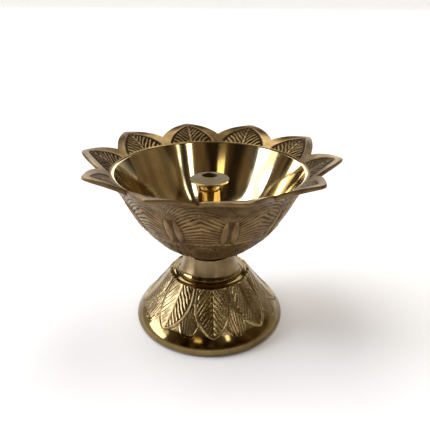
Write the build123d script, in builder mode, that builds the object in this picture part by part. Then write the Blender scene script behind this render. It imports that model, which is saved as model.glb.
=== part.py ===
from build123d import *
import os

# Pedestal oil lamp (diya) in brass, in millimetres.
# +Z is up. The origin is on the lamp's axis, in the plane that the foot stands on.
# A bell foot, a turned collar and a lotus bowl are stacked on the axis and clamped by one
# screw from below. The wick holder stands loose in a socket in the middle of the bowl.

# Driving dimensions
petal_count = 10
petal_phase = 270.0             # direction of the first petal's tip, degrees from +X
tip_radius = 38.6               # axis to a petal's tip
valley_radius = 31.7            # axis to the notch between two petals
petal_bulge = 0.77              # how far each petal's edge bows out from its chord
tip_round = 1.6                 # rounding of a petal's tip
rim_height = 55.0               # height of the petals' tips, the lamp's top
petal_thickness = 1.0           # metal at a petal's edge

mouth_radius = 28.0             # inner edge of the bowl's mouth
mouth_height = 50.4
floor_height = 27.5             # inside floor of the bowl
floor_radius = 8.0
bowl_foot_height = 24.4         # lowest ring of the bowl's outside
bowl_foot_radius = 9.0

seat_radius = 6.5               # boss under the bowl that sits on the collar
spigot_radius = 4.2             # centring spigot under the boss
spigot_length = 1.0

socket_boss_radius = 5.6        # raised ring in the bowl that holds the wick holder
socket_boss_top = 31.5
socket_floor = 28.4
socket_clearance = 0.08         # radial, so that the wick holder lifts out freely

foot_radius = 23.85             # widest radius, a little above the ground
foot_height = 17.0              # face that the collar stands on
foot_web_underside = 13.5       # underside of the web that the screw clamps
register_radius = 6.0           # raised register that centres the collar on the foot
register_height = 1.0
fit_clearance = 0.10            # radial clearance of the registers
recess_relief = 0.2             # recesses are this much deeper than what enters them

collar_foot_radius = 9.84
collar_top_radius = 8.0
collar_top = 23.7

screw_radius = 2.5              # M5
screw_length = 14.0             # under the head
screw_head_radius = 4.25
screw_head_height = 3.3
screw_slot_width = 1.2
screw_slot_depth = 1.6
clearance_hole_radius = 2.75
tap_radius = 2.1                # tapping drill for M5
tap_top = 27.2                  # end of the blind tapped hole
washer_radius = 5.0
washer_hole_radius = 2.65
washer_thickness = 1.0

wick_radius = 2.25              # bore for the wick
stem_radius = 3.35
cap_radius = 5.9                # drip cap on top of the stem
cap_edge_top = 47.5
cap_edge_bottom = 46.8
wick_holder_top = 48.6
trumpet_start = 44.0            # where the stem starts to flare into the cap
slot_width = 2.8                # oil slots in the stem
slot_bottom = 32.2
slot_top = 44.0
slot_direction = 202.0          # direction of one slot, the other is opposite

os.makedirs("parts", exist_ok=True)


def petal_point(radius, petal):
    """Point of the plan outline at a radius; whole numbers of petal are tips, halves are notches."""
    angle = petal_phase + petal * 360 / petal_count
    return Vector(radius, 0).rotate(Axis.Z, angle)


def bowed_middle(start, end, bulge):
    """Point beside the middle of a chord, on the side that faces away from the axis."""
    middle = (start + end) / 2
    chord = (end - start).normalized()
    outward = Vector(chord.Y, -chord.X)
    if outward.dot(middle) < 0:
        outward = outward * -1
    return middle + outward * bulge


# Lotus bowl: one casting. The wall rises from a small ring, flares at the mouth and ends in
# ten petals. A seat, a spigot and a blind tapped hole are beneath, a raised socket is inside.
with BuildPart() as lotus_bowl:
    with BuildSketch(Plane.XZ):
        with BuildLine():
            rim_underside = rim_height - petal_thickness
            Polyline(
                (0, bowl_foot_height),
                (bowl_foot_radius - 0.4, bowl_foot_height),
                (bowl_foot_radius, bowl_foot_height + 0.45),
            )
            Spline(
                (bowl_foot_radius, bowl_foot_height + 0.45),
                (14.15, 28.0),
                (20.2, 34.0),
                (25.1, 42.0),
                (28.7, 48.4),
                (33.0, 52.2),
                (tip_radius + 1, rim_underside),
                tangents=[(2, 1.1), (1, 0)],
            )
            Line((tip_radius + 1, rim_underside), (tip_radius + 1, rim_height))
            Spline(
                (tip_radius + 1, rim_height),
                (35.0, 54.4),
                (31.8, 52.9),
                (mouth_radius + 0.7, mouth_height + 0.1),
                tangents=[(-1, 0), (-0.72, -0.7)],
            )
            Line((mouth_radius + 0.7, mouth_height + 0.1), (mouth_radius, mouth_height))
            Spline(
                (mouth_radius, mouth_height),
                (24.3, 44.0),
                (19.6, 36.0),
                (13.4, 29.6),
                (floor_radius, floor_height),
                tangents=[(-0.5, -1), (-1, 0)],
            )
            Polyline((floor_radius, floor_height), (0, floor_height), (0, bowl_foot_height))
        make_face()
    revolve(axis=Axis.Z)

    # Everything outside the petals' plan outline is cut away.
    with BuildSketch(Plane.XY.offset(collar_top)) as petal_plan:
        with BuildLine():
            for petal in range(petal_count):
                tip = petal_point(tip_radius, petal)
                for side in (-0.5, 0.5):
                    notch = petal_point(valley_radius, petal + side)
                    ThreePointArc(notch, bowed_middle(notch, tip, petal_bulge), tip)
        make_face()
        tips = [v for v in petal_plan.vertices() if (v.X**2 + v.Y**2) ** 0.5 > valley_radius + 1]
        fillet(tips, radius=tip_round)
    extrude(amount=rim_height, mode=Mode.INTERSECT)

    # Seat, spigot and tapped hole for the clamp screw.
    with BuildSketch(Plane.XY.offset(collar_top)):
        Circle(seat_radius)
    extrude(until=Until.NEXT)
    with BuildSketch(Plane.XY.offset(collar_top - spigot_length)):
        Circle(spigot_radius)
    extrude(until=Until.NEXT)
    with BuildSketch(Plane.XY.offset(collar_top - spigot_length)):
        Circle(tap_radius)
    extrude(amount=tap_top - collar_top + spigot_length, mode=Mode.SUBTRACT)

    # Socket for the wick holder.
    with BuildSketch(Plane.XY.offset(floor_height)):
        Circle(socket_boss_radius)
    extrude(amount=socket_boss_top - floor_height)
    boss_edge = lotus_bowl.edges().filter_by_position(Axis.Z, socket_boss_top, socket_boss_top)
    fillet(boss_edge, radius=0.5)
    with BuildSketch(Plane.XY.offset(socket_floor)):
        Circle(stem_radius + socket_clearance)
    extrude(amount=socket_boss_top - socket_floor, mode=Mode.SUBTRACT)

lotus_bowl.part.label = "lotus_bowl"
export_step(lotus_bowl.part, "parts/lotus_bowl.step")


# Foot: a hollow cast bell with a web on top. The collar stands on its ledge and is centred by
# a raised register.
with BuildPart() as foot:
    with BuildSketch(Plane.XZ):
        with BuildLine():
            Line((foot_radius - 2.85, 0), (foot_radius - 0.95, 0))
            Spline(
                (foot_radius - 0.95, 0),
                (foot_radius, 1.7),
                (foot_radius - 0.75, 3.5),
                (19.2, 8.0),
                (14.3, 14.0),
                (12.5, foot_height - 0.5),
                tangents=[(1, 0.35), (-0.6, 1)],
            )
            Line((12.5, foot_height - 0.5), (11.4, foot_height - 0.5))
            ThreePointArc((11.4, foot_height - 0.5), (11.0, foot_height - 0.12), (10.4, foot_height))
            Polyline(
                (10.4, foot_height),
                (register_radius, foot_height),
                (register_radius, foot_height + register_height),
                (clearance_hole_radius, foot_height + register_height),
                (clearance_hole_radius, foot_web_underside),
                (10.6, foot_web_underside),
            )
            Spline(
                (10.6, foot_web_underside),
                (17.2, 8.0),
                (foot_radius - 3.0, 3.0),
                (foot_radius - 2.85, 0),
                tangents=[(1, -0.5), (0, -1)],
            )
        make_face()
    revolve(axis=Axis.Z)

foot.part.label = "foot"
export_step(foot.part, "parts/foot.step")


# Neck collar: a turned spacer, slightly waisted, with a narrow bead at its foot.
with BuildPart() as neck_collar:
    with BuildSketch(Plane.XZ):
        with BuildLine():
            Polyline(
                (clearance_hole_radius, foot_height),
                (collar_foot_radius - 0.15, foot_height),
                (collar_foot_radius, foot_height + 0.15),
                (collar_foot_radius, foot_height + 0.4),
            )
            Spline(
                (collar_foot_radius, foot_height + 0.4),
                (8.75, foot_height + 2.5),
                (collar_top_radius + 0.05, collar_top - 1.2),
                (collar_top_radius, collar_top - 0.3),
                tangents=[(-1, 0.9), (0, 1)],
            )
            Polyline(
                (collar_top_radius, collar_top - 0.3),
                (collar_top_radius - 0.3, collar_top),
                (clearance_hole_radius, collar_top),
                (clearance_hole_radius, foot_height),
            )
        make_face()
    revolve(axis=Axis.Z)
    with BuildSketch(Plane.XY.offset(foot_height)):
        Circle(register_radius + fit_clearance)
    extrude(amount=register_height + recess_relief, mode=Mode.SUBTRACT)
    with BuildSketch(Plane.XY.offset(collar_top)):
        Circle(spigot_radius + fit_clearance)
    extrude(amount=-(spigot_length + recess_relief), mode=Mode.SUBTRACT)

neck_collar.part.label = "neck_collar"
export_step(neck_collar.part, "parts/neck_collar.step")


# Plain washer between the screw's head and the foot's web.
with BuildPart() as washer:
    with BuildSketch(Plane.XY.offset(foot_web_underside - washer_thickness)):
        Circle(washer_radius)
        Circle(washer_hole_radius, mode=Mode.SUBTRACT)
    extrude(amount=washer_thickness)
    chamfer(washer.edges().filter_by(GeomType.CIRCLE).group_by(SortBy.RADIUS)[-1], length=0.15)

washer.part.label = "washer"
export_step(washer.part, "parts/washer.step")


# Clamp screw: slotted cheese head, put in from below. Its thread is drawn as a plain cylinder
# of the nominal size, so it overlaps the wall of the tapped hole by the depth of the thread.
head_top = foot_web_underside - washer_thickness
head_bottom = head_top - screw_head_height
with BuildPart() as clamp_screw:
    with BuildSketch(Plane.XY.offset(head_bottom)):
        Circle(screw_head_radius)
    extrude(amount=screw_head_height)
    fillet(clamp_screw.edges().group_by(Axis.Z)[0], radius=0.4)
    with BuildSketch(Plane.XY.offset(head_top)):
        Circle(screw_radius)
    extrude(amount=screw_length)
    chamfer(clamp_screw.edges().group_by(Axis.Z)[-1], length=0.5)
    with BuildSketch(Plane.XY.offset(head_bottom)):
        Rectangle(2 * screw_head_radius + 1, screw_slot_width)
    extrude(amount=screw_slot_depth, mode=Mode.SUBTRACT)

clamp_screw.part.label = "clamp_screw"
export_step(clamp_screw.part, "parts/clamp_screw.step")


# Wick holder: a turned tube whose top flares into a shallow drip cap. Two long slots let the oil
# reach the wick. It stands loose in the bowl's socket.
with BuildPart() as wick_holder:
    with BuildSketch(Plane.XZ):
        with BuildLine():
            Polyline(
                (wick_radius, socket_floor),
                (stem_radius - 0.3, socket_floor),
                (stem_radius, socket_floor + 0.3),
                (stem_radius, trumpet_start),
            )
            Spline(
                (stem_radius, trumpet_start),
                (stem_radius + 0.75, trumpet_start + 1.7),
                (cap_radius - 0.3, cap_edge_bottom),
                tangents=[(0, 1), (1, 0.35)],
            )
            Polyline(
                (cap_radius - 0.3, cap_edge_bottom),
                (cap_radius, cap_edge_bottom + 0.2),
                (cap_radius, cap_edge_top - 0.1),
                (cap_radius - 0.15, cap_edge_top),
                (wick_radius + 0.25, wick_holder_top),
                (wick_radius, wick_holder_top - 0.2),
                (wick_radius, socket_floor),
            )
        make_face()
    revolve(axis=Axis.Z)
    slot_middle = (slot_bottom + slot_top) / 2
    slot_plane = Plane(
        origin=(0, 0, slot_middle),
        x_dir=(0, 0, 1),
        z_dir=Vector(1, 0, 0).rotate(Axis.Z, slot_direction),
    )
    with BuildSketch(slot_plane):
        SlotOverall(slot_top - slot_bottom, slot_width)
    extrude(amount=cap_radius, both=True, mode=Mode.SUBTRACT)

wick_holder.part.label = "wick_holder"
export_step(wick_holder.part, "parts/wick_holder.step")
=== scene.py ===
import logging
import math
from dataclasses import dataclass
from enum import Enum
from typing import Any

import bmesh
import bpy
import numpy as np
from mathutils import Matrix, Vector


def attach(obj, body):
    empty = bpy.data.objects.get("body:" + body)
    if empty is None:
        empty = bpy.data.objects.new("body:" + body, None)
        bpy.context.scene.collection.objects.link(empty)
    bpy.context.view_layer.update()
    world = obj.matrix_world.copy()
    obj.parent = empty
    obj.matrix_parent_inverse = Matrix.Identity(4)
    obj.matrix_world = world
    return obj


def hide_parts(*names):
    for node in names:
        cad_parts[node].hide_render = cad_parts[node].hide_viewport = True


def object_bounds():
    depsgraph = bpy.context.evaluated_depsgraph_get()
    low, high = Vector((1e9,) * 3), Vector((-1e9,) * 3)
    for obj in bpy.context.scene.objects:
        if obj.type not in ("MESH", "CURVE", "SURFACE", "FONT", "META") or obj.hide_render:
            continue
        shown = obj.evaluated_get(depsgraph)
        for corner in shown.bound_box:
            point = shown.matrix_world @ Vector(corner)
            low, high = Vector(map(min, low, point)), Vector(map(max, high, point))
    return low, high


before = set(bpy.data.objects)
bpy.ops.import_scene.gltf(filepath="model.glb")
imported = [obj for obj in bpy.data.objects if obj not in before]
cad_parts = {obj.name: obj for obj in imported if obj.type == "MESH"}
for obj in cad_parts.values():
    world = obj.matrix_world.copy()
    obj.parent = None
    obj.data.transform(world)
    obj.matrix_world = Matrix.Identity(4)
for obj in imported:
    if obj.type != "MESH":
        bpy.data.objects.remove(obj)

# Brass diya: a lotus bowl, a turned collar, an embossed bell foot and a wick holder that lifts out.
# Sizes in the classes are millimetres; meshes are written in metres, in the frame of the CAD model.

Tree = bpy.types.NodeTree
Socket = bpy.types.NodeSocket
MM = 0.001
LOG = logging.getLogger("diya")
CAD_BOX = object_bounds()
SHARP_ANGLE = 50.0  # degrees between two faces, above which their edge is shaded sharp
MOTTLE_RANGE = 0.35, 0.68  # noise values where tarnish starts and where it covers all
PATINA_AND_SHADE_COVER = 0.96  # how much of the metal's colour the dark mask hides at full strength: patina in the deepest cut, painted shade on the bowl's petal edges, and the bowl's darker lower wall
PATINA_AND_SHADE_ROUGHNESS = 0.35  # what the dark mask of patina and painted shade adds to the roughness
ACROSS_THE_LAY = 0.25  # quarter turn, so that highlights spread across the tool marks
COLOUR_A, COLOUR_B, COLOUR_OUT = 6, 7, 2  # the Mix node's colour sockets, whose names aren't unique
FLOAT_A, FLOAT_B, FLOAT_OUT = 2, 3, 0  # and its sockets for plain values


# ---------------------------------------------------------------- small helpers


def linear(hex_colour: str) -> tuple[float, float, float, float]:
    """Turn an sRGB hex colour into linear light.

    Args:
        hex_colour: six hex digits, such as "b08d57".

    Returns:
        Red, green, blue and an alpha of one.
    """
    channels = [int(hex_colour[i:i + 2], 16) / 255 for i in (0, 2, 4)]
    red, green, blue = (c / 12.92 if c <= 0.04045 else ((c + 0.055) / 1.055) ** 2.4 for c in channels)
    return red, green, blue, 1.0


def add_node(
    tree: Tree,
    kind: str,
    settings: dict[str, Any] | None = None,
    values: dict[str | int, Any] | None = None,
    links: dict[str | int, Socket] | None = None,
) -> bpy.types.Node:
    """Add one node to a tree.

    Args:
        tree: the material's or the world's node tree.
        kind: Blender's name for the node type.
        settings: properties of the node itself.
        values: constants for its input sockets, by name or index.
        links: output sockets to join to its input sockets, by name or index.

    Returns:
        The new node.
    """
    node = tree.nodes.new(kind)
    for name, value in (settings or {}).items():
        setattr(node, name, value)
    for name, value in (values or {}).items():
        node.inputs[name].default_value = value
    for name, source in (links or {}).items():
        tree.links.new(source, node.inputs[name])
    return node


def add_object(name: str, data: bpy.types.ID) -> bpy.types.Object:
    """Put a mesh, a light or a camera in the scene, as an object at the origin.

    Args:
        name: name of the new object.
        data: the mesh, the light or the camera.

    Returns:
        The object.
    """
    made = bpy.data.objects.new(name, data)
    bpy.context.scene.collection.objects.link(made)
    return made


def toward(azimuth: float, elevation: float) -> Vector:
    """Direction out from the lamp.

    Args:
        azimuth: degrees, 0 in front of the lamp on the -Y side, anticlockwise seen from above.
        elevation: degrees above the horizon.

    Returns:
        A vector of length one.
    """
    around, up = math.radians(azimuth), math.radians(elevation)
    return Vector((math.sin(around) * math.cos(up), -math.cos(around) * math.cos(up), math.sin(up)))


def smooth_step(low: float, high: float, value: np.ndarray) -> np.ndarray:
    """Rise smoothly from 0 at low to 1 at high."""
    t = np.clip((value - low) / (high - low), 0.0, 1.0)
    return t * t * (3 - 2 * t)


def wrap(turn: np.ndarray, sector: float) -> np.ndarray:
    """Angle from the nearest of the centre lines that stand a sector apart."""
    return (turn + sector / 2) % sector - sector / 2


def wave(cycles: np.ndarray) -> np.ndarray:
    """Swing between 1 at whole numbers and 0 half-way between them."""
    return 0.5 + 0.5 * np.cos(2 * math.pi * cycles)


def stroke(distance: np.ndarray, width: float) -> np.ndarray:
    """Cross-section of one engraved or raised line: 1 on the line, falling away over its width."""
    return np.exp(-((distance / width) ** 2))


def smooth_curve(points: tuple[tuple[float, float], ...], rows: int) -> np.ndarray:
    """Sample a natural cubic spline through a few points, evenly along its chords.

    Args:
        points: (radius, height) pairs in millimetres.
        rows: how many samples to return, both ends included.

    Returns:
        An array of rows by 2.
    """
    knots = np.array(points, float)
    chord = np.r_[0.0, np.cumsum(np.linalg.norm(np.diff(knots, axis=0), axis=1))]
    count = len(knots)
    if count == 2:
        return np.linspace(knots[0], knots[1], rows)
    gaps = np.diff(chord)
    system = np.eye(count)
    rates = np.zeros_like(knots)
    for i in range(1, count - 1):
        system[i, i - 1:i + 2] = gaps[i - 1], 2 * (gaps[i - 1] + gaps[i]), gaps[i]
        rates[i] = 6 * ((knots[i + 1] - knots[i]) / gaps[i] - (knots[i] - knots[i - 1]) / gaps[i - 1])
    bend = np.linalg.solve(system, rates)
    along = np.linspace(0, chord[-1], rows)
    span = np.clip(np.searchsorted(chord, along, side="right") - 1, 0, count - 2)
    gap = gaps[span][:, None]
    left = (along - chord[span])[:, None]
    right = gap - left
    curve = (bend[span] * right ** 3 + bend[span + 1] * left ** 3) / (6 * gap)
    return curve + (knots[span] / gap - bend[span] * gap / 6) * right + (
        knots[span + 1] / gap - bend[span + 1] * gap / 6) * left


# ---------------------------------------------------------------- finishes


class Lay(Enum):
    """Which way the tool marks of a finish run."""

    NONE = "none"
    TURNED = "turned"


@dataclass(frozen=True)
class MetalFinish:
    """One metal surface: its colour, tarnish, tool marks and grain.

    Fields are sRGB hex colours, roughness from 0 to 1 and sizes in millimetres. Real tool marks are finer
    than lay_pitch_mm: they are drawn as coarse as they need to be to show.
    """

    name: str
    bright: str
    tarnish: str
    # Colour of the patina in the cuts. The bowl also uses it for painted shade on its petal edges.
    recess: str
    roughness: float
    roughness_spread: float
    mottle_mm: float
    grain_mm: float
    grain_depth_mm: float
    lay: Lay = Lay.NONE
    lay_pitch_mm: float = 0.35
    lay_depth_mm: float = 0.002
    anisotropy: float = 0.0
    matte: str = ""
    matte_above_mm: float = 0.0
    matte_roughness: float = 0.48

    def material(self) -> bpy.types.Material:
        """Build the finish as a node material.

        Returns:
            The material.
        """
        made = bpy.data.materials.new(self.name)
        made.use_nodes = True
        tree = made.node_tree
        tree.nodes.clear()
        place = add_node(tree, "ShaderNodeTexCoord").outputs["Object"]
        mottle = add_node(
            tree, "ShaderNodeTexNoise", links={"Vector": place},
            values={"Scale": 1 / (self.mottle_mm * MM), "Detail": 4.0, "Roughness": 0.6},
        ).outputs["Fac"]
        cut = add_node(tree, "ShaderNodeAttribute", {"attribute_name": "recess"}).outputs["Fac"]
        # The dark mask: patina in engraved cuts, and on the bowl, painted shade on the petal edges and a
        # darker lower wall.
        patina_and_shade = add_node(
            tree, "ShaderNodeMath", {"operation": "MULTIPLY", "use_clamp": True}, {1: PATINA_AND_SHADE_COVER}, {0: cut},
        ).outputs[0]

        low, high = MOTTLE_RANGE
        patches = add_node(
            tree, "ShaderNodeMapRange", values={"From Min": low, "From Max": high}, links={"Value": mottle},
        ).outputs[0]
        skin = add_node(
            tree, "ShaderNodeMix", {"data_type": "RGBA"},
            {COLOUR_A: linear(self.bright), COLOUR_B: linear(self.tarnish)}, {0: patches},
        ).outputs[COLOUR_OUT]
        colour = add_node(
            tree, "ShaderNodeMix", {"data_type": "RGBA"}, {COLOUR_B: linear(self.recess)},
            {0: patina_and_shade, COLOUR_A: skin},
        ).outputs[COLOUR_OUT]

        smoothest = self.roughness - self.roughness_spread
        roughest = self.roughness + self.roughness_spread
        worn = add_node(
            tree, "ShaderNodeMapRange", values={"To Min": smoothest, "To Max": roughest},
            links={"Value": mottle},
        ).outputs[0]
        rough = add_node(
            tree, "ShaderNodeMath", {"operation": "MULTIPLY_ADD", "use_clamp": True}, {1: PATINA_AND_SHADE_ROUGHNESS},
            {0: patina_and_shade, 2: worn},
        ).outputs[0]
        if self.matte:
            colour, rough = self.matte_top(tree, place, colour, rough)

        grain = add_node(
            tree, "ShaderNodeTexNoise", links={"Vector": place},
            values={"Scale": 1 / (self.grain_mm * MM), "Detail": 2.0, "Roughness": 0.5},
        ).outputs["Fac"]
        relief = add_node(
            tree, "ShaderNodeBump", values={"Strength": 1.0, "Distance": self.grain_depth_mm * MM},
            links={"Height": grain},
        ).outputs[0]
        if self.lay is Lay.TURNED:
            relief = self.tool_marks(tree, place, relief)
        shader = add_node(
            tree, "ShaderNodeBsdfPrincipled", values={"Metallic": 1.0, "Anisotropic": self.anisotropy},
            links={"Base Color": colour, "Roughness": rough, "Normal": relief},
        )
        if self.anisotropy:
            around = add_node(tree, "ShaderNodeTangent", {"direction_type": "RADIAL", "axis": "Z"})
            tree.links.new(around.outputs[0], shader.inputs["Tangent"])
            shader.inputs["Anisotropic Rotation"].default_value = ACROSS_THE_LAY
        add_node(tree, "ShaderNodeOutputMaterial", links={"Surface": shader.outputs[0]})
        return made

    def matte_top(self, tree: Tree, place: Socket, colour: Socket, rough: Socket) -> tuple[Socket, Socket]:
        """Make everything above a height matt.

        Args:
            tree: the material's node tree.
            place: position on the piece.
            colour: the colour below.
            rough: the roughness below.

        Returns:
            The colour and the roughness of the whole.
        """
        height = add_node(tree, "ShaderNodeSeparateXYZ", links={0: place}).outputs["Z"]
        edge, blend = self.matte_above_mm * MM, 0.05 * MM
        capped = add_node(
            tree, "ShaderNodeMapRange", values={"From Min": edge - blend, "From Max": edge + blend},
            links={"Value": height},
        ).outputs[0]
        colour = add_node(
            tree, "ShaderNodeMix", {"data_type": "RGBA"}, {COLOUR_B: linear(self.matte)},
            {0: capped, COLOUR_A: colour},
        ).outputs[COLOUR_OUT]
        rough = add_node(
            tree, "ShaderNodeMix", {"data_type": "FLOAT"}, {FLOAT_B: self.matte_roughness},
            {0: capped, FLOAT_A: rough},
        ).outputs[FLOAT_OUT]
        return colour, rough

    def tool_marks(self, tree: Tree, place: Socket, relief: Socket) -> Socket:
        """Add the fine rings that a turning tool leaves: noise that changes with radius and height only.

        Args:
            tree: the material's node tree.
            place: position on the piece.
            relief: the surface direction without the marks.

        Returns:
            The surface direction with them.
        """
        flat = add_node(tree, "ShaderNodeVectorMath", {"operation": "MULTIPLY"}, {1: (1, 1, 0)}, {0: place})
        radius = add_node(tree, "ShaderNodeVectorMath", {"operation": "LENGTH"}, links={0: flat.outputs[0]})
        height = add_node(tree, "ShaderNodeSeparateXYZ", links={0: place}).outputs["Z"]
        turning = add_node(tree, "ShaderNodeCombineXYZ", links={0: radius.outputs["Value"], 1: height})
        rings = add_node(
            tree, "ShaderNodeTexNoise", links={"Vector": turning.outputs[0]},
            values={"Scale": 1 / (self.lay_pitch_mm * MM), "Detail": 3.0, "Roughness": 0.65},
        ).outputs["Fac"]
        return add_node(
            tree, "ShaderNodeBump", values={"Strength": 1.0, "Distance": self.lay_depth_mm * MM},
            links={"Height": rings, "Normal": relief},
        ).outputs[0]


def coat(made: bpy.types.Object, *finishes: MetalFinish) -> None:
    """Give a piece its finishes, one material slot for each."""
    for finish in finishes:
        made.data.materials.append(finish.material())


# Brass, 70/30, turned on a lathe and buffed: a mirror whose fine tool marks draw lights out into
# upright streaks.
BUFFED_BRASS = MetalFinish(
    "buffed_brass", bright="cfbf94", tarnish="bda676", recess="3a2814", roughness=0.10, roughness_spread=0.03,
    mottle_mm=9.0, grain_mm=0.9, grain_depth_mm=0.0005, lay=Lay.TURNED, lay_pitch_mm=0.45, lay_depth_mm=0.002,
    anisotropy=0.65,
)
# Sand-cast brass, engraved and left dull: brown tarnish on the lands and near-black grime in the cuts. Its
# dark colour is also painted as shade on the petals' edges.
CAST_BRASS = MetalFinish(
    "cast_brass", bright="93794f", tarnish="684f35", recess="33230f", roughness=0.34, roughness_spread=0.08,
    mottle_mm=5.0, grain_mm=0.45, grain_depth_mm=0.045,
)
# The same casting, filed and satin finished on the petals' upper faces.
SATIN_BRASS = MetalFinish(
    "satin_brass", bright="8f7850", tarnish="664f2f", recess="140c05", roughness=0.30, roughness_spread=0.07,
    mottle_mm=4.0, grain_mm=0.35, grain_depth_mm=0.015,
)
# Cast brass, embossed, then polished on a wheel: gold on the leaves with soft dark hollows.
LEAF_BRASS = MetalFinish(
    "leaf_brass", bright="a08c63", tarnish="6f5839", recess="22160a", roughness=0.22, roughness_spread=0.06,
    mottle_mm=6.0, grain_mm=0.9, grain_depth_mm=0.030,
)
# Brass polished to a mirror on the foot's flange and the collar's bead, gone a little olive with age.
POLISHED_BRASS = MetalFinish(
    "polished_brass", bright="8c784c", tarnish="6c5836", recess="2c1d0c", roughness=0.11,
    roughness_spread=0.04, mottle_mm=8.0, grain_mm=1.2, grain_depth_mm=0.003,
)
# Brass bar, turned and brushed with emery: fine rings that run round the axis.
BRUSHED_BRASS = MetalFinish(
    "brushed_brass", bright="9c8766", tarnish="7a6446", recess="2c1d0b", roughness=0.34,
    roughness_spread=0.05, mottle_mm=7.0, grain_mm=0.5, grain_depth_mm=0.002, lay=Lay.TURNED,
    lay_pitch_mm=0.30, lay_depth_mm=0.008, anisotropy=0.92,
)
# Brass bar, polished on the stem, with the cap's top left matt and greyish from the flame.
WICK_HOLDER_BRASS = MetalFinish(
    "wick_holder_brass", bright="c0a468", tarnish="9c8148", recess="2c1d0b", roughness=0.18,
    roughness_spread=0.04, mottle_mm=5.0, grain_mm=0.35, grain_depth_mm=0.006, lay=Lay.TURNED,
    lay_pitch_mm=0.30, lay_depth_mm=0.004, matte="72694f", matte_above_mm=47.45,
)
# Zinc-plated mild steel: grey with a faint blue, slightly rough.
ZINC_STEEL = MetalFinish(
    "zinc_steel", bright="aab0b4", tarnish="8d9296", recess="2a2a2a", roughness=0.34, roughness_spread=0.08,
    mottle_mm=2.5, grain_mm=0.4, grain_depth_mm=0.008, lay=Lay.TURNED, lay_pitch_mm=0.25, lay_depth_mm=0.004,
)


# ---------------------------------------------------------------- turned shapes


@dataclass(frozen=True)
class Stretch:
    """One stretch of a turned outline, up to the start of the next one."""

    name: str
    points: tuple[tuple[float, float], ...]
    rows: int
    finish: int = 0
    smooth: bool = False


@dataclass
class Outline:
    """A turned outline made of stretches that follow each other end to end."""

    stretches: tuple[Stretch, ...]

    def __post_init__(self) -> None:
        """Sample the stretches into rows and note where each one begins and ends."""
        rows: list[np.ndarray] = []
        self.first: dict[str, int] = {}
        self.last: dict[str, int] = {}
        self.finishes: list[int] = []
        total = 0
        for stretch in self.stretches:
            sampled = smooth_curve(stretch.points, stretch.rows + 1)
            start = 0 if total == 0 else 1
            rows.append(sampled[start:])
            self.first[stretch.name] = max(total - 1, 0)
            total += len(sampled) - start
            self.last[stretch.name] = total - 1
            self.finishes += [stretch.finish] * stretch.rows
        self.rows = np.vstack(rows)

    def smooth_rows(self) -> set[int]:
        """Find the rows of the stretches that carry no relief.

        Returns:
            The rows' numbers.
        """
        return {
            row for stretch in self.stretches if stretch.smooth
            for row in range(self.first[stretch.name], self.last[stretch.name] + 1)
        }

    def part(self, name: str) -> np.ndarray:
        """The sampled rows of one stretch, both ends included."""
        return self.rows[self.first[name]:self.last[name] + 1]

    def length_along(self) -> np.ndarray:
        """Distance of every row from the first one, along the outline."""
        steps = np.linalg.norm(np.diff(self.rows, axis=0), axis=1)
        return np.r_[0.0, np.cumsum(steps)]

    def normals(self) -> np.ndarray:
        """Find the outward direction of every row.

        Returns:
            An array of rows by 2, with the radial and the upward part.
        """
        slope = np.gradient(self.rows, axis=0)
        slope /= np.maximum(np.linalg.norm(slope, axis=1, keepdims=True), 1e-9)
        return np.stack([slope[:, 1], -slope[:, 0]], axis=1)


def thin_columns(
    work: bmesh.types.BMesh, row_layer: Any, smooth_rows: set[int], step: float, keep: int,
) -> None:
    """Keep every few columns only, on the rows that carry no relief.

    Args:
        work: one spun sector.
        row_layer: the layer that holds each vertex's row.
        smooth_rows: rows whose columns are thinned.
        step: angle between two columns, in radians.
        keep: one column in this many stays.
    """
    spare = []
    for edge in work.edges:
        low, high = edge.verts
        if low[row_layer] == high[row_layer] or not {low[row_layer], high[row_layer]} <= smooth_rows:
            continue
        outer = max(edge.verts, key=lambda v: math.hypot(v.co.x, v.co.y))
        if round(math.atan2(outer.co.y, outer.co.x) / step) % keep:
            spare.append(edge)
    bmesh.ops.dissolve_edges(work, edges=spare, use_verts=True, use_face_split=False)


def spin_outline(name: str, outline: Outline, sectors: int, columns: int, keep: int = 1) -> bpy.types.Object:
    """Spin one sector of an outline round the Z axis and repeat it into a closed mesh in millimetres.

    Args:
        name: name of the new object.
        outline: the outline, drawn so that its left side is the metal.
        sectors: how many equal sectors go round.
        columns: how many steps make one sector.
        keep: on smooth stretches, one column in this many stays.

    Returns:
        The object; every vertex carries its row in the attribute "row", every face its finish.
    """
    work = bmesh.new()
    row_layer = work.verts.layers.int.new("row")
    chain: list[bmesh.types.BMVert] = []
    for index, (radius, height) in enumerate(outline.rows):
        vertex = work.verts.new((float(radius), 0.0, float(height)))
        vertex[row_layer] = index
        chain.append(vertex)
    edges = [work.edges.new(pair) for pair in zip(chain, chain[1:])]
    sector = 2 * math.pi / sectors
    bmesh.ops.spin(
        work, geom=chain + edges, cent=(0, 0, 0), axis=(0, 0, 1), dvec=(0, 0, 0), angle=sector,
        steps=columns, use_merge=False, use_duplicate=False,
    )
    bmesh.ops.remove_doubles(work, verts=work.verts[:], dist=1e-5)
    if keep > 1:
        thin_columns(work, row_layer, outline.smooth_rows(), sector / columns, keep)
    wedge = work.verts[:] + work.edges[:] + work.faces[:]
    for index in range(1, sectors):
        copied = bmesh.ops.duplicate(work, geom=wedge)["geom"]
        turned = [item for item in copied if isinstance(item, bmesh.types.BMVert)]
        bmesh.ops.rotate(work, cent=(0, 0, 0), matrix=Matrix.Rotation(sector * index, 3, "Z"), verts=turned)
    bmesh.ops.remove_doubles(work, verts=work.verts[:], dist=1e-3)
    for face in work.faces:
        lowest = min(v[row_layer] for v in face.verts)
        face.material_index = outline.finishes[min(lowest, len(outline.finishes) - 1)]
        face.smooth = True
    bmesh.ops.recalc_face_normals(work, faces=work.faces)
    mesh = bpy.data.meshes.new(name)
    work.to_mesh(mesh)
    work.free()
    return add_object(name, mesh)


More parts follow.
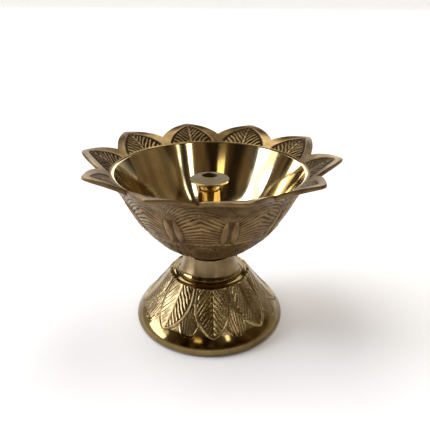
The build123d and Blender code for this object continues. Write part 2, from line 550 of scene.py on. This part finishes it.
class Relief:
    """Reads a spun mesh as arrays, lets a class move its vertices, and writes it back in metres."""

    def __init__(self, made: bpy.types.Object, outline: Outline) -> None:
        """Read the mesh.

        Args:
            made: a spun object, still in millimetres.
            outline: the outline that it was spun from.
        """
        self.mesh = made.data
        self.outline = outline
        count = len(self.mesh.vertices)
        flat = np.empty(count * 3, np.float32)
        self.mesh.vertices.foreach_get("co", flat)
        self.points = flat.reshape(-1, 3).astype(float)
        self.row = np.empty(count, np.int32)
        self.mesh.attributes["row"].data.foreach_get("value", self.row)
        self.angle = np.arctan2(self.points[:, 1], self.points[:, 0])
        self.radius = np.hypot(self.points[:, 0], self.points[:, 1])
        self.height = self.points[:, 2].copy()
        self.normal = outline.normals()[self.row]
        self.recess = np.zeros(count)

    def between(self, first: str, last: str) -> np.ndarray:
        """Which vertices lie between the start of one stretch and the end of another."""
        return (self.row > self.outline.first[first]) & (self.row < self.outline.last[last])

    def lift(self, cut: np.ndarray) -> None:
        """Move every vertex outward by its height in millimetres."""
        self.radius += self.normal[:, 0] * cut
        self.height += self.normal[:, 1] * cut

    def write(self) -> None:
        """Write the moved vertices back to the mesh, with the dark mask. It holds the engraving's depth, and
        on the bowl also painted shade on the petal edges and a darker lower wall.
        """
        self.points[:, 0] = self.radius * np.cos(self.angle)
        self.points[:, 1] = self.radius * np.sin(self.angle)
        self.points[:, 2] = self.height
        self.mesh.vertices.foreach_set("co", (self.points * MM).astype(np.float32).ravel())
        layer = self.mesh.attributes.new("recess", "FLOAT", "POINT")
        layer.data.foreach_set("value", self.recess.astype(np.float32))
        self.mesh.attributes.remove(self.mesh.attributes["row"])
        self.mesh.set_sharp_from_angle(angle=math.radians(SHARP_ANGLE))
        self.mesh.update()


# ---------------------------------------------------------------- lotus bowl


@dataclass(frozen=True)
class WallPlace:
    """Where points of the bowl's outside are, in millimetres.

    across is measured from the petal's centre line, along up the wall from its lowest ring, half from the
    petal's centre line to the notch's line, and to_rim in plan to the petals' outline.
    """

    across: np.ndarray
    along: np.ndarray
    half: np.ndarray
    to_rim: np.ndarray


@dataclass
class LotusBowl:
    """The cast bowl: a turned inside, a flared rim of ten petals, and engraving on the petals and outside.

    Lengths are millimetres, angles degrees. The lobes, beads and sepals are placed up the wall from its
    lowest ring, the groove and the leaf inward from the petal's outline and outward from the mouth.
    """

    petals: int = 10
    petal_direction: float = 270.0
    tip_radius: float = 38.6
    notch_radius: float = 31.7
    petal_bow: float = 0.77
    tip_round: float = 1.6
    rim_height: float = 55.0
    petal_thickness: float = 1.0
    mouth_radius: float = 28.0
    mouth_height: float = 50.4
    columns: int = 60
    vein_pitch: float = 0.88
    vein_depth: float = 0.19
    dash_length: float = 1.15
    lobe_offset: float = 1.42
    lobe_half_width: float = 0.95
    lobe_bottom: float = 16.9
    lobe_length: float = 10.3
    lobe_rise: float = 0.36
    spear_floor: float = 0.13
    border_height: float = 17.9
    bead_height: float = 16.9
    bead_pitch: float = 1.55
    bead_rise: float = 0.18
    sepal_share: float = 0.62
    sepal_shoulder: float = 8.5
    sepal_top: float = 15.8
    sepal_rise: float = 0.15
    groove_inset: float = 1.25
    groove_depth: float = 0.12
    leaf_inset: float = 0.9
    leaf_length: float = 7.1
    leaf_half_width: float = 7.0
    stroke_pitch: float = 1.37
    stroke_depth: float = 0.30
    edge_setback: float = 0.32
    # Painted shade on the petals' edges: how much of the dark colour dims their reflection of the floor.
    edge_painted_shade: float = 0.45
    # How much darker the outside wall is made towards its bottom.
    low_wall_darkening: float = 0.40

    def outline(self) -> Outline:
        """Draw the bowl's section, from the tapped hole beneath, up the outside and down the inside.

        Returns:
            The outline to spin.
        """
        top = self.rim_height
        low = top - self.petal_thickness
        edge = self.tip_radius + 0.02
        mouth = (self.mouth_radius, self.mouth_height)
        land = (self.mouth_radius + 0.7, self.mouth_height + 0.1)
        return Outline((
            Stretch("tapped hole", ((0, 27.2), (2.1, 27.2)), 1, 3, True),
            Stretch("tapped wall", ((2.1, 27.2), (2.1, 22.7)), 1, 3, True),
            Stretch("spigot end", ((2.1, 22.7), (4.2, 22.7)), 1, 3, True),
            Stretch("spigot", ((4.2, 22.7), (4.2, 23.7)), 1, 3, True),
            Stretch("seat", ((4.2, 23.7), (6.5, 23.7)), 1, 3, True),
            Stretch("seat side", ((6.5, 23.7), (6.5, 24.4)), 1, 3, True),
            Stretch("ring", ((6.5, 24.4), (8.6, 24.4)), 1, 3, True),
            Stretch("ring edge", ((8.6, 24.4), (8.9, 24.55), (9.0, 24.85)), 2),
            Stretch("wall", ((9.0, 24.85), (14.15, 28.0), (20.2, 34.0), (25.1, 42.0), (27.1, 46.0)), 86),
            Stretch("underside", ((27.1, 46.0), (28.7, 48.4), (33.0, 52.2), (edge, low)), 26),
            Stretch("edge", ((edge, low), (edge, top)), 4),
            Stretch("petal top", ((edge, top), (35.0, 54.4), (31.8, 52.9), land), 30, 1),
            Stretch("land", (land, mouth), 1, 2),
            Stretch("inside", (mouth, (24.3, 44.0), (19.6, 36.0), (13.4, 29.6), (8.0, 27.5)), 26, 2, True),
            Stretch("floor", ((8.0, 27.5), (5.6, 27.5)), 1, 2, True),
            Stretch("socket side", ((5.6, 27.5), (5.6, 31.1)), 1, 2, True),
            Stretch("socket edge", ((5.6, 31.1), (5.47, 31.4), (5.2, 31.5)), 2, 2, True),
            Stretch("socket top", ((5.2, 31.5), (3.43, 31.5)), 1, 2, True),
            Stretch("socket wall", ((3.43, 31.5), (3.43, 28.4)), 1, 2, True),
            Stretch("socket floor", ((3.43, 28.4), (0, 28.4)), 1, 2, True),
        ))

    def petal_outline(self, turn: np.ndarray) -> np.ndarray:
        """Radius of the petals' plan outline.

        Args:
            turn: angle from the nearest petal's centre line, in radians.

        Returns:
            The radius for each angle: two bowed arcs for each petal, with a rounded tip.
        """
        half = math.pi / self.petals
        notch = Vector((self.notch_radius * math.cos(half), self.notch_radius * math.sin(half)))
        tip = Vector((self.tip_radius, 0.0))
        chord = tip - notch
        arc = (chord.length ** 2 / 4 + self.petal_bow ** 2) / (2 * self.petal_bow)
        inward = Vector((chord.y, -chord.x)).normalized()
        if inward.dot(notch) > 0:
            inward.negate()
        centre = (tip + notch) / 2 + inward * (arc - self.petal_bow)
        turn = np.abs(turn)
        middle = np.cos(turn) * centre.x + np.sin(turn) * centre.y
        radius = middle + np.sqrt(middle ** 2 - centre.length_squared + arc ** 2)
        round_centre = centre.x + math.sqrt((arc - self.tip_round) ** 2 - centre.y ** 2)
        reach = Vector((round_centre, 0.0)) - centre
        touch = centre + reach.normalized() * arc
        inside = np.clip(self.tip_round ** 2 - (round_centre * np.sin(turn)) ** 2, 0, None)
        rounded = round_centre * np.cos(turn) + np.sqrt(inside)
        return np.where(turn < math.atan2(touch.y, touch.x), rounded, radius)

    def outside_relief(self, place: WallPlace) -> np.ndarray:
        """Height of the engraving on the outside wall.

        A spear of two upright lobes stands on each petal's centre line. Veins leave it on both sides and meet
        on the notch's line, and a row of beads and rounded sepals closes the pattern below.

        Args:
            place: where the points are.

        Returns:
            The height in millimetres, negative in the cuts.
        """
        along, to_rim = place.along, place.to_rim
        aside = np.abs(place.across)
        way = np.clip((along - self.lobe_bottom) / self.lobe_length, 0, 1)
        lobe = self.lobe_half_width * np.sqrt(np.sin(math.pi * way))
        from_lobe = np.abs(aside - self.lobe_offset)
        in_lobe = smooth_step(-0.12, 0.12, lobe - from_lobe) * (lobe > 0.05)
        dome = np.sqrt(np.clip(1 - (from_lobe / np.maximum(lobe, 0.05)) ** 2, 0, 1))
        spear = smooth_step(-0.15, 0.25, self.lobe_offset + lobe - aside) * (lobe > 0.05)
        relief = spear * (self.lobe_rise * in_lobe * dome - self.spear_floor)
        relief -= 0.10 * stroke(aside - self.lobe_offset - lobe - 0.22, 0.24) * (lobe > 0.3)

        border = self.border_height
        field = smooth_step(border, border + 0.7, along) * smooth_step(1.2, 1.9, to_rim)
        relief -= self.vein_cut(place) * field * (1 - spear)
        relief -= 0.12 * stroke(along - border, 0.24) * (1 - spear)
        bead = wave((place.half - aside) / self.bead_pitch) ** 0.7
        relief += self.bead_rise * bead * stroke(along - self.bead_height, 0.42) * (1 - spear)
        relief -= self.groove_depth * stroke(to_rim - self.groove_inset, 0.22) * (along > 20)
        return relief + self.low_relief(place)

    def low_relief(self, place: WallPlace) -> np.ndarray:
        """Height of the sepals, and of the stems and foliage between them, below the row of beads.

        Args:
            place: where the points are.

        Returns:
            The height in millimetres.
        """
        across, along = place.across, place.along
        aside = np.abs(across)
        inward = place.half - aside
        closing = np.clip(along - self.sepal_shoulder, 0, None) / (self.sepal_top - self.sepal_shoulder)
        sepal = self.sepal_share * place.half * np.clip(1 - closing ** 3, 0, 1) ** 0.4
        in_sepal = smooth_step(-0.2, 0.3, sepal - inward) * smooth_step(2.0, 4.0, along)
        swell = np.sqrt(np.clip(1 - (inward / np.maximum(sepal, 0.1)) ** 2, 0, 1))
        relief = self.sepal_rise * in_sepal * swell
        relief -= 0.07 * stroke(sepal - inward + 0.3, 0.32) * smooth_step(3.0, 5.0, along) * (along < 16.4)
        stem = smooth_step(3.0, 6.0, along) * (1 - smooth_step(15.0, 16.4, along)) * (1 - in_sepal)
        relief -= 0.09 * stem * wave(aside / 0.95)
        foliage = np.sin(1.9 * across + 0.9 * along) * np.sin(1.4 * along - 1.1 * across)
        relief += 0.07 * foliage * smooth_step(3.0, 5.0, along) * (1 - smooth_step(15.5, 16.5, along))
        return relief

    def vein_cut(self, place: WallPlace) -> np.ndarray:
        """Depth of the veins: fine, slightly wavy cuts that the graver made in short dashes.

        Args:
            place: where the points are.

        Returns:
            The depth in millimetres.
        """
        across, along = place.across, place.along
        aside = np.abs(across)
        start = self.vein_start(aside, along)
        by_hand = 0.06 * np.sin(1.1 * across + 0.5 * along) + 0.03 * np.sin(1.7 * along - 0.9 * across)
        cut = wave(start / self.vein_pitch + by_hand) ** 1.8
        along_dash = aside / self.dash_length + 0.5 * np.round(start / self.vein_pitch)
        dash = 0.92 + 0.08 * np.cos(2 * math.pi * along_dash)
        patchy = 1 + 0.35 * np.sin(1.3 * along + 0.8 * across) * np.sin(0.5 * across - 0.4 * along)
        return self.vein_depth * dash * patchy * cut

    def vein_start(self, aside: np.ndarray, along: np.ndarray) -> np.ndarray:
        """Height at which the vein through each point leaves the petal's centre line.

        Veins are straight. The lowest run nearly level, and each higher one climbs more steeply.

        Args:
            aside: distance from the petal's centre line, in millimetres.
            along: distance up the wall from its lowest ring, in millimetres.

        Returns:
            The starting height of each point's vein, in millimetres.
        """
        start = along.copy()
        for _ in range(6):
            share = np.clip((start - self.lobe_bottom) / 10.0, 0, 1.2)
            climb = 0.12 + 1.15 * share ** 2
            steepening = np.where((share > 0) & (share < 1.2), 0.23 * share, 0)
            start -= (start + climb * aside - along) / (1 + steepening * aside)
        return start

    def petal_relief(self, across: np.ndarray, radius: np.ndarray) -> np.ndarray:
        """Height of the leaf that is engraved on each petal's upper face.

        Args:
            across: distance from the petal's centre line, in millimetres.
            radius: distance from the lamp's axis, in millimetres.

        Returns:
            The height in millimetres, negative in the cuts.
        """
        aside = np.abs(across)
        start_radius = self.mouth_radius + self.leaf_inset
        way = np.clip((radius - start_radius) / self.leaf_length, 0, 1)
        half_width = self.leaf_half_width * (1 - way ** 1.5)
        inside = (half_width - aside) * 0.72
        field = smooth_step(0.0, 0.35, inside)
        start = radius - 1.05 * aside + 0.028 * aside ** 2
        by_hand = 0.09 * np.sin(2.3 * across + 0.7 * radius)
        cut = wave(start / self.stroke_pitch + by_hand) ** 1.1
        rib = stroke(aside, 0.34)
        relief = -field * (0.03 + self.stroke_depth * cut * (1 - rib))
        relief -= 0.30 * stroke(inside + 0.05, 0.27)
        relief -= 0.10 * stroke(aside - 0.55, 0.2) * field
        apex = start_radius + self.leaf_length
        relief *= smooth_step(start_radius, start_radius + 0.5, radius)
        return relief * (1 - smooth_step(apex - 0.1, apex + 0.2, radius))

    def build(self) -> bpy.types.Object:
        """Spin the bowl, draw its rows out into petals and engrave them.

        Returns:
            The finished piece.
        """
        outline = self.outline()
        made = spin_outline("lotus_bowl_cast", outline, self.petals, self.columns, keep=3)
        relief = Relief(made, outline)
        sector = 2 * math.pi / self.petals
        turn = wrap(relief.angle - math.radians(self.petal_direction), sector)
        rim = self.petal_outline(turn)

        length = outline.length_along()
        along = length[relief.row] - length[outline.first["wall"]]
        under, over = outline.part("underside"), outline.part("petal top")[::-1]
        self.draw_out(relief, "underside", under, rim)
        self.draw_out(relief, "petal top", over, rim)
        self.round_edge(relief, under, over, rim)

        across = relief.radius * turn
        half = relief.radius * sector / 2
        to_rim = rim - relief.radius
        wall, top = relief.between("wall", "underside"), relief.between("petal top", "petal top")
        cut = np.zeros(len(rim))
        cut[wall] = self.outside_relief(WallPlace(across, along, half, to_rim))[wall]
        cut[top] = self.petal_relief(across, relief.radius)[top] * smooth_step(0.2, 0.7, to_rim)[top]
        relief.lift(cut)
        # The outside wall is made darker towards its bottom.
        low_wall = wall * (1 - smooth_step(14.0, 19.0, along)) * smooth_step(0.3, 1.2, along)
        # Painted shade: the petals' edges get part of the dark colour, which dims their reflection of the
        # floor. worn also carries the lower wall's darkening.
        worn = self.low_wall_darkening * low_wall + self.edge_painted_shade * relief.between("edge", "edge")
        relief.recess = np.maximum(smooth_step(0.01, 0.20, -cut), worn)
        relief.write()
        coat(made, CAST_BRASS, SATIN_BRASS, BUFFED_BRASS, BRUSHED_BRASS)
        return made

    def draw_out(self, relief: Relief, name: str, section: np.ndarray, rim: np.ndarray) -> None:
        """Scale the rows of a flared stretch so that they end at the petals' outline.

        Args:
            relief: the mesh's arrays.
            name: the stretch to draw out.
            section: its (radius, height) rows, from the inside outward.
            rim: the petals' outline at each vertex.
        """
        rows = (relief.row >= relief.outline.first[name]) & (relief.row <= relief.outline.last[name])
        inner, outer = section[0, 0], section[-1, 0]
        share = (relief.radius[rows] - inner) / (outer - inner)
        relief.radius[rows] = inner + share * (rim[rows] - inner)
        relief.height[rows] = np.interp(relief.radius[rows], section[:, 0], section[:, 1])

    def round_edge(self, relief: Relief, under: np.ndarray, over: np.ndarray, rim: np.ndarray) -> None:
        """Bend the rows of the petals' edge into a half round between the two faces.

        Args:
            relief: the mesh's arrays.
            under: section of the underside, from the inside outward.
            over: section of the upper face, from the inside outward.
            rim: the petals' outline at each vertex.
        """
        first, last = relief.outline.first["edge"], relief.outline.last["edge"]
        rows = (relief.row >= first) & (relief.row <= last)
        share = (relief.row[rows] - first) / (last - first)
        seat = rim[rows] - self.edge_setback
        low = np.interp(seat, under[:, 0], under[:, 1])
        high = np.interp(seat, over[:, 0], over[:, 1])
        relief.radius[rows] = seat + self.edge_setback * np.sin(math.pi * share)
        relief.height[rows] = (low + high) / 2 - (high - low) / 2 * np.cos(math.pi * share)


# ---------------------------------------------------------------- foot


@dataclass
class BellFoot:
    """The hollow cast foot: eight embossed leaves over a smooth polished flange.

    Lengths are millimetres, down the bell from its top edge, and angles degrees.
    """

    leaves: int = 8
    leaf_direction: float = 260.4
    uneven: float = 3.3
    columns: int = 90
    leaf_share: float = 0.93
    leaf_shoulder: float = 3.5
    leaf_length: float = 14.6
    leaf_rise: float = 0.06
    leaf_belly: float = 0.16
    border_rise: float = 0.19
    moat_depth: float = 0.11
    vein_pitch: float = 1.8
    vein_depth: float = 0.12
    ground_depth: float = 0.09
    tip_half_width: float = 3.7
    tip_start: float = 8.0
    tip_length: float = 7.2
    smooth_flange_rows: int = 8

    def outline(self) -> Outline:
        """Draw the foot's section, from the rim's inner edge, up the outside and down the inside.

        Returns:
            The outline to spin.
        """
        return Outline((
            Stretch("base", ((21.0, 0), (22.9, 0)), 2, 2),
            Stretch("flange", ((22.9, 0), (23.62, 0.6), (23.85, 1.7), (23.1, 3.5), (21.3, 5.75)), 26, 2),
            Stretch("bell", ((21.3, 5.75), (19.2, 8.0), (14.3, 14.0), (12.5, 16.5)), 84),
            Stretch("step", ((12.5, 16.5), (11.4, 16.5)), 2, 2),
            Stretch("bead", ((11.4, 16.5), (11.0, 16.88), (10.4, 17.0)), 4, 2),
            Stretch("ledge", ((10.4, 17.0), (6.0, 17.0)), 2, 0, True),
            Stretch("register", ((6.0, 17.0), (6.0, 18.0)), 1, 0, True),
            Stretch("register top", ((6.0, 18.0), (2.75, 18.0)), 1, 0, True),
            Stretch("hole", ((2.75, 18.0), (2.75, 13.5)), 1, 0, True),
            Stretch("web", ((2.75, 13.5), (10.6, 13.5)), 1, 1, True),
            Stretch("inside", ((10.6, 13.5), (13.9, 11.6), (17.2, 8.0), (20.5, 3.0), (21.0, 0)), 18, 1, True),
        ))

    def leaf_relief(self, across: np.ndarray, down: np.ndarray, half: np.ndarray) -> np.ndarray:
        """Height of the embossed leaves and of the tips that show between them.

        Args:
            across: distance from the leaf's midrib, in millimetres.
            down: distance down the bell from its top edge, in millimetres.
            half: distance between a midrib and the middle of the gap beside it, in millimetres.

        Returns:
            The height in millimetres.
        """
        aside = np.abs(across)
        way = np.clip((down - self.leaf_shoulder) / (self.leaf_length - self.leaf_shoulder), 0, 1)
        closing = (1 - way ** 1.8) ** 0.75
        arch = np.sqrt(np.clip((down + 1.3) / 1.8, 0, 1))
        inside = (self.leaf_share * half * closing * arch + 0.2 - aside) * 0.9
        leaf = smooth_step(-0.10, 0.15, inside)
        rim_line = stroke(inside - 0.26, 0.22)
        moat = stroke(inside - 0.74, 0.22)
        field = smooth_step(0.85, 1.25, inside)
        by_hand = 0.08 * np.sin(1.7 * across + 0.9 * down)
        cut = wave((down - 1.35 * aside) / self.vein_pitch + by_hand) ** 1.2
        rib = stroke(aside, 0.75) * smooth_step(0.4, 1.4, inside)
        belly = self.leaf_belly * np.clip(1 - (aside / np.maximum(half, 0.1)) ** 2, 0, 1)
        above_tip = 1 - smooth_step(self.leaf_length - 0.1, self.leaf_length + 0.15, down)
        relief = leaf * (self.leaf_rise + belly - self.moat_depth * moat) + self.border_rise * rim_line
        relief *= above_tip
        relief += field * (0.04 + 0.04 * rib - self.vein_depth * cut * (1 - rib))

        gap = half - aside
        low = np.clip((down - self.tip_start) / self.tip_length, 0, 1)
        behind = (self.tip_half_width * (1 - low ** 2.2) ** 0.5 - gap) * 0.9
        tip = smooth_step(-0.1, 0.15, behind) * (1 - leaf) * (down > 5)
        strokes = wave((gap + 0.02 * (down - 9.0) ** 2) / 0.85) ** 1.2
        relief += tip * (0.06 - 0.06 * strokes * smooth_step(0.3, 0.7, behind))
        above_end = (down > 7) * (1 - smooth_step(14.9, 15.2, down))
        relief += 0.07 * stroke(behind - 0.2, 0.2) * (1 - leaf) * above_end
        ground = (1 - leaf) * (1 - tip) * smooth_step(0.1, 0.6, down) * (1 - smooth_step(11.5, 14.0, down))
        return relief - self.ground_depth * ground

    def build(self) -> bpy.types.Object:
        """Spin the foot and raise its leaves.

        Returns:
            The finished piece.
        """
        outline = self.outline()
        made = spin_outline("bell_foot_cast", outline, self.leaves, self.columns, keep=6)
        relief = Relief(made, outline)
        sector = 2 * math.pi / self.leaves
        turn = relief.angle - math.radians(self.leaf_direction)
        turn = wrap(turn + math.radians(self.uneven) * np.sin(turn), sector)
        length = outline.length_along()
        down = length[outline.last["bell"]] - length[relief.row]
        lowest = outline.first["flange"] + self.smooth_flange_rows
        outer = (relief.row > lowest) & (relief.row < outline.last["bell"])
        cut = np.zeros(len(turn))
        cut[outer] = self.leaf_relief(relief.radius * turn, down, relief.radius * sector / 2)[outer]
        relief.lift(cut)
        relief.recess = 0.8 * smooth_step(0.02, 0.17, -cut)
        relief.write()
        coat(made, LEAF_BRASS, CAST_BRASS, POLISHED_BRASS)
        return made


# ---------------------------------------------------------------- collar


@dataclass
class NeckCollar:
    """The turned spacer: a brushed, slightly waisted cone over a polished bead, in millimetres."""

    sectors: int = 12
    columns: int = 16
    bottom: float = 17.0
    band_top: float = 18.5
    top: float = 23.7

    def outline(self) -> Outline:
        """Draw the collar's section, from the hole under it, up the outside and down through the hole.

        Returns:
            The outline to spin.
        """
        return Outline((
            Stretch("recess top", ((2.75, 18.2), (6.1, 18.2)), 1),
            Stretch("recess wall", ((6.1, 18.2), (6.1, self.bottom)), 1),
            Stretch("base", ((6.1, self.bottom), (9.69, self.bottom)), 1, 1),
            Stretch("bead", ((9.69, self.bottom), (9.80, 17.04), (9.84, 17.15), (9.84, 17.4)), 4, 1),
            Stretch("band", ((9.84, 17.4), (9.62, 17.72), (9.40, 18.10), (9.22, self.band_top)), 8, 1),
            Stretch("cone", ((9.22, self.band_top), (8.75, 19.5), (8.3, 21.0), (8.05, 22.5), (8, 23.4)), 26),
            Stretch("top edge", ((8.0, 23.4), (7.93, 23.62), (7.7, self.top)), 3, 1),
            Stretch("top", ((7.7, self.top), (4.3, self.top)), 1),
            Stretch("spigot wall", ((4.3, self.top), (4.3, 22.5)), 1),
            Stretch("spigot floor", ((4.3, 22.5), (2.75, 22.5)), 1),
            Stretch("hole", ((2.75, 22.5), (2.75, 18.2)), 1),
        ))

    def build(self) -> bpy.types.Object:
        """Spin the collar.

        Returns:
            The finished piece.
        """
        outline = self.outline()
        made = spin_outline("neck_collar_turned", outline, self.sectors, self.columns)
        Relief(made, outline).write()
        coat(made, BRUSHED_BRASS, POLISHED_BRASS)
        return made


# ---------------------------------------------------------------- studio


@dataclass(frozen=True)
class SoftBox:
    """One rectangular studio light: its direction and its apparent size from the lamp, in degrees.

    Brightness is that of its face, on the scale where fully lit white paper is 1.
    """

    name: str
    azimuth: float
    elevation: float
    wide: float
    high: float
    brightness: float
    colour: str
    distance: float = 3.0

    def place(self, target: Vector) -> None:
        """Create the light.

        Args:
            target: the point that it is aimed at.
        """
        data = bpy.data.lights.new(self.name, "AREA")
        data.shape = "RECTANGLE"
        data.size = 2 * self.distance * math.tan(math.radians(self.wide / 2))
        data.size_y = 2 * self.distance * math.tan(math.radians(self.high / 2))
        data.energy = self.brightness * math.pi * data.size * data.size_y
        data.color = linear(self.colour)[:3]
        lamp = add_object(self.name, data)
        away = toward(self.azimuth, self.elevation)
        lamp.location = target + away * self.distance
        lamp.rotation_euler = away.to_track_quat("Z", "Y").to_euler()


@dataclass
class Studio:
    """The floor, the lights, the surroundings and the camera, in metres, degrees and millimetres of lens.

    The pale wall ends and the dim room begins at heights given as sines of the elevation. The room lightens
    between the noise values patch_start and patch_full.
    """

    floor_size: float = 40.0
    sky_strength: float = 3.6
    sky_spread: float = 50.0
    sky_elevation: float = 55.0
    room_patches: float = 5.0
    patch_flatness: float = 0.22
    patch_start: float = 0.40
    patch_full: float = 0.62
    room_dark: str = "241a10"
    room_light: str = "725f45"
    wall: str = "d6d3ce"
    paper: str = "f4f3f1"
    wall_top: float = 0.10
    room_bottom: float = 0.30
    camera_azimuth: float = -12.8
    camera_distance: float = 0.1415
    camera_height: float = 0.0986
    camera_pitch: float = 24.05
    camera_yaw: float = 0.67
    camera_roll: float = 0.385
    lens: float = 42.03

    def floor(self) -> None:
        """Lay the pale matte floor that the foot stands on."""
        work = bmesh.new()
        bmesh.ops.create_grid(work, x_segments=2, y_segments=2, size=self.floor_size / 2)
        mesh = bpy.data.meshes.new("studio_floor")
        work.to_mesh(mesh)
        work.free()
        made = add_object("studio_floor", mesh)
        paint = bpy.data.materials.new("white_paper")
        paint.use_nodes = True
        shader = paint.node_tree.nodes["Principled BSDF"]
        shader.inputs["Base Color"].default_value = linear(self.paper)
        shader.inputs["Roughness"].default_value = 0.9
        mesh.materials.append(paint)

    def camera(self) -> None:
        """Put the camera in front of the lamp, looking down on it."""
        data = bpy.data.cameras.new("camera")
        data.lens, data.sensor_width = self.lens, 36.0
        data.clip_start, data.clip_end = 0.005, 20.0
        made = add_object("camera", data)
        turn = Matrix.Rotation(math.radians(self.camera_azimuth), 4, "Z")
        pitch, yaw = math.radians(self.camera_pitch), math.radians(self.camera_yaw)
        ahead = Vector((math.sin(yaw) * math.cos(pitch), math.cos(yaw) * math.cos(pitch), -math.sin(pitch)))
        look = ahead.to_track_quat("-Z", "Y").to_matrix().to_4x4()
        roll = Matrix.Rotation(math.radians(self.camera_roll), 4, "Z")
        place = Matrix.Translation((0, -self.camera_distance, self.camera_height))
        made.matrix_world = turn @ place @ look @ roll
        bpy.context.scene.camera = made

    def surroundings(self) -> None:
        """Make what the brass mirrors: a pale wall low down and a dim brown room in upright patches above."""
        world = bpy.data.worlds.new("studio")
        world.use_nodes = True
        tree = world.node_tree
        way = add_node(tree, "ShaderNodeTexCoord").outputs["Generated"]
        stretch = (1.0, 1.0, self.patch_flatness)
        upright = add_node(tree, "ShaderNodeMapping", values={"Scale": stretch}, links={"Vector": way})
        patch = add_node(
            tree, "ShaderNodeTexNoise", values={"Scale": self.room_patches, "Detail": 1.5, "Roughness": 0.5},
            links={"Vector": upright.outputs[0]},
        )
        share = add_node(
            tree, "ShaderNodeMapRange", links={"Value": patch.outputs["Fac"]},
            values={"From Min": self.patch_start, "From Max": self.patch_full},
        )
        room = add_node(
            tree, "ShaderNodeMix", {"data_type": "RGBA"},
            {COLOUR_A: linear(self.room_dark), COLOUR_B: linear(self.room_light)}, {0: share.outputs[0]},
        )
        rise = add_node(tree, "ShaderNodeSeparateXYZ", links={0: way}).outputs["Z"]
        above = add_node(
            tree, "ShaderNodeMapRange", {"interpolation_type": "SMOOTHSTEP"},
            {"From Min": self.wall_top, "From Max": self.room_bottom}, {"Value": rise},
        )
        colour = add_node(
            tree, "ShaderNodeMix", {"data_type": "RGBA"}, {COLOUR_A: linear(self.wall)},
            {0: above.outputs[0], COLOUR_B: room.outputs[COLOUR_OUT]},
        )
        tree.links.new(colour.outputs[COLOUR_OUT], tree.nodes["Background"].inputs["Color"])
        bpy.context.scene.world = world
        bpy.context.scene.view_settings.view_transform = "Standard"

    def sky(self, name: str, azimuth: float, share: float) -> None:
        """Add a wide, even light from high up, which whitens the floor.

        Args:
            name: name of the light.
            azimuth: its direction in degrees, as for a soft box.
            share: its share of the sky's strength.
        """
        data = bpy.data.lights.new(name, "SUN")
        data.energy, data.angle = self.sky_strength * share, math.radians(self.sky_spread)
        lamp = add_object(name, data)
        lamp.rotation_euler = toward(azimuth, self.sky_elevation).to_track_quat("Z", "Y").to_euler()

    def build(self) -> None:
        """Set up everything that isn't the lamp."""
        self.floor()
        self.camera()
        self.surroundings()
        self.sky("sky_left", azimuth=-118, share=0.6)
        self.sky("sky_right", azimuth=108, share=0.4)
        target = (CAD_BOX[0] + CAD_BOX[1]) / 2
        for name, azimuth, elevation, wide, high, brightness, colour in (
            ("window_left_low", -99, 18, 32, 13, 10.0, "dce8ff"),
            ("window_left_middle", -99, 28, 30, 6, 2.2, "ffffff"),
            ("window_left_high", -97, 37, 14, 13, 9.0, "dce8ff"),
            ("window_back", 167, 21, 44, 14, 2.4, "ffffff"),
            ("window_back_left", -152, 12, 15, 14, 5.0, "ffffff"),
            ("strip_front", 19, 43, 4.5, 13, 8.0, "ffffff"),
            ("strip_front_thin", 36, 44, 2.5, 14, 4.0, "ffffff"),
            ("card_front_low", -32, 39, 9, 5, 3.0, "ffe9b0"),
            ("card_right", 80, 25, 60, 30, 0.15, "ffe2b8"),
        ):
            SoftBox(name, azimuth, elevation, wide, high, brightness, colour).place(target)


# ---------------------------------------------------------------- the lamp


def dress_node(node: str, finish: MetalFinish) -> None:
    """Give a CAD node that stays a finish of its own.

    Args:
        node: the node's name.
        finish: its finish.
    """
    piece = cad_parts[node]
    piece.data.materials.clear()
    coat(piece, finish)
    LOG.info("%s keeps its CAD shape, finished as %s", node, finish.name)


def main() -> None:
    """Build the lamp and the studio."""
    logging.basicConfig(level=logging.INFO, format="%(name)s: %(message)s")
    for piece, node, body, slot in (
        (LotusBowl().build(), "lotus_bowl", "lamp", "bowl_brass"),
        (BellFoot().build(), "foot", "lamp", "foot_brass"),
        (NeckCollar().build(), "neck_collar", "lamp", "collar_brass"),
    ):
        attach(piece, body)
        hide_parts(node)
        LOG.info("%s: %d faces, stands for %s", piece.name, len(piece.data.polygons), node)
    dress_node("wick_holder", WICK_HOLDER_BRASS)
    dress_node("clamp_screw", ZINC_STEEL)
    dress_node("washer", ZINC_STEEL)
    Studio().build()


if __name__ == "__main__":
    main()
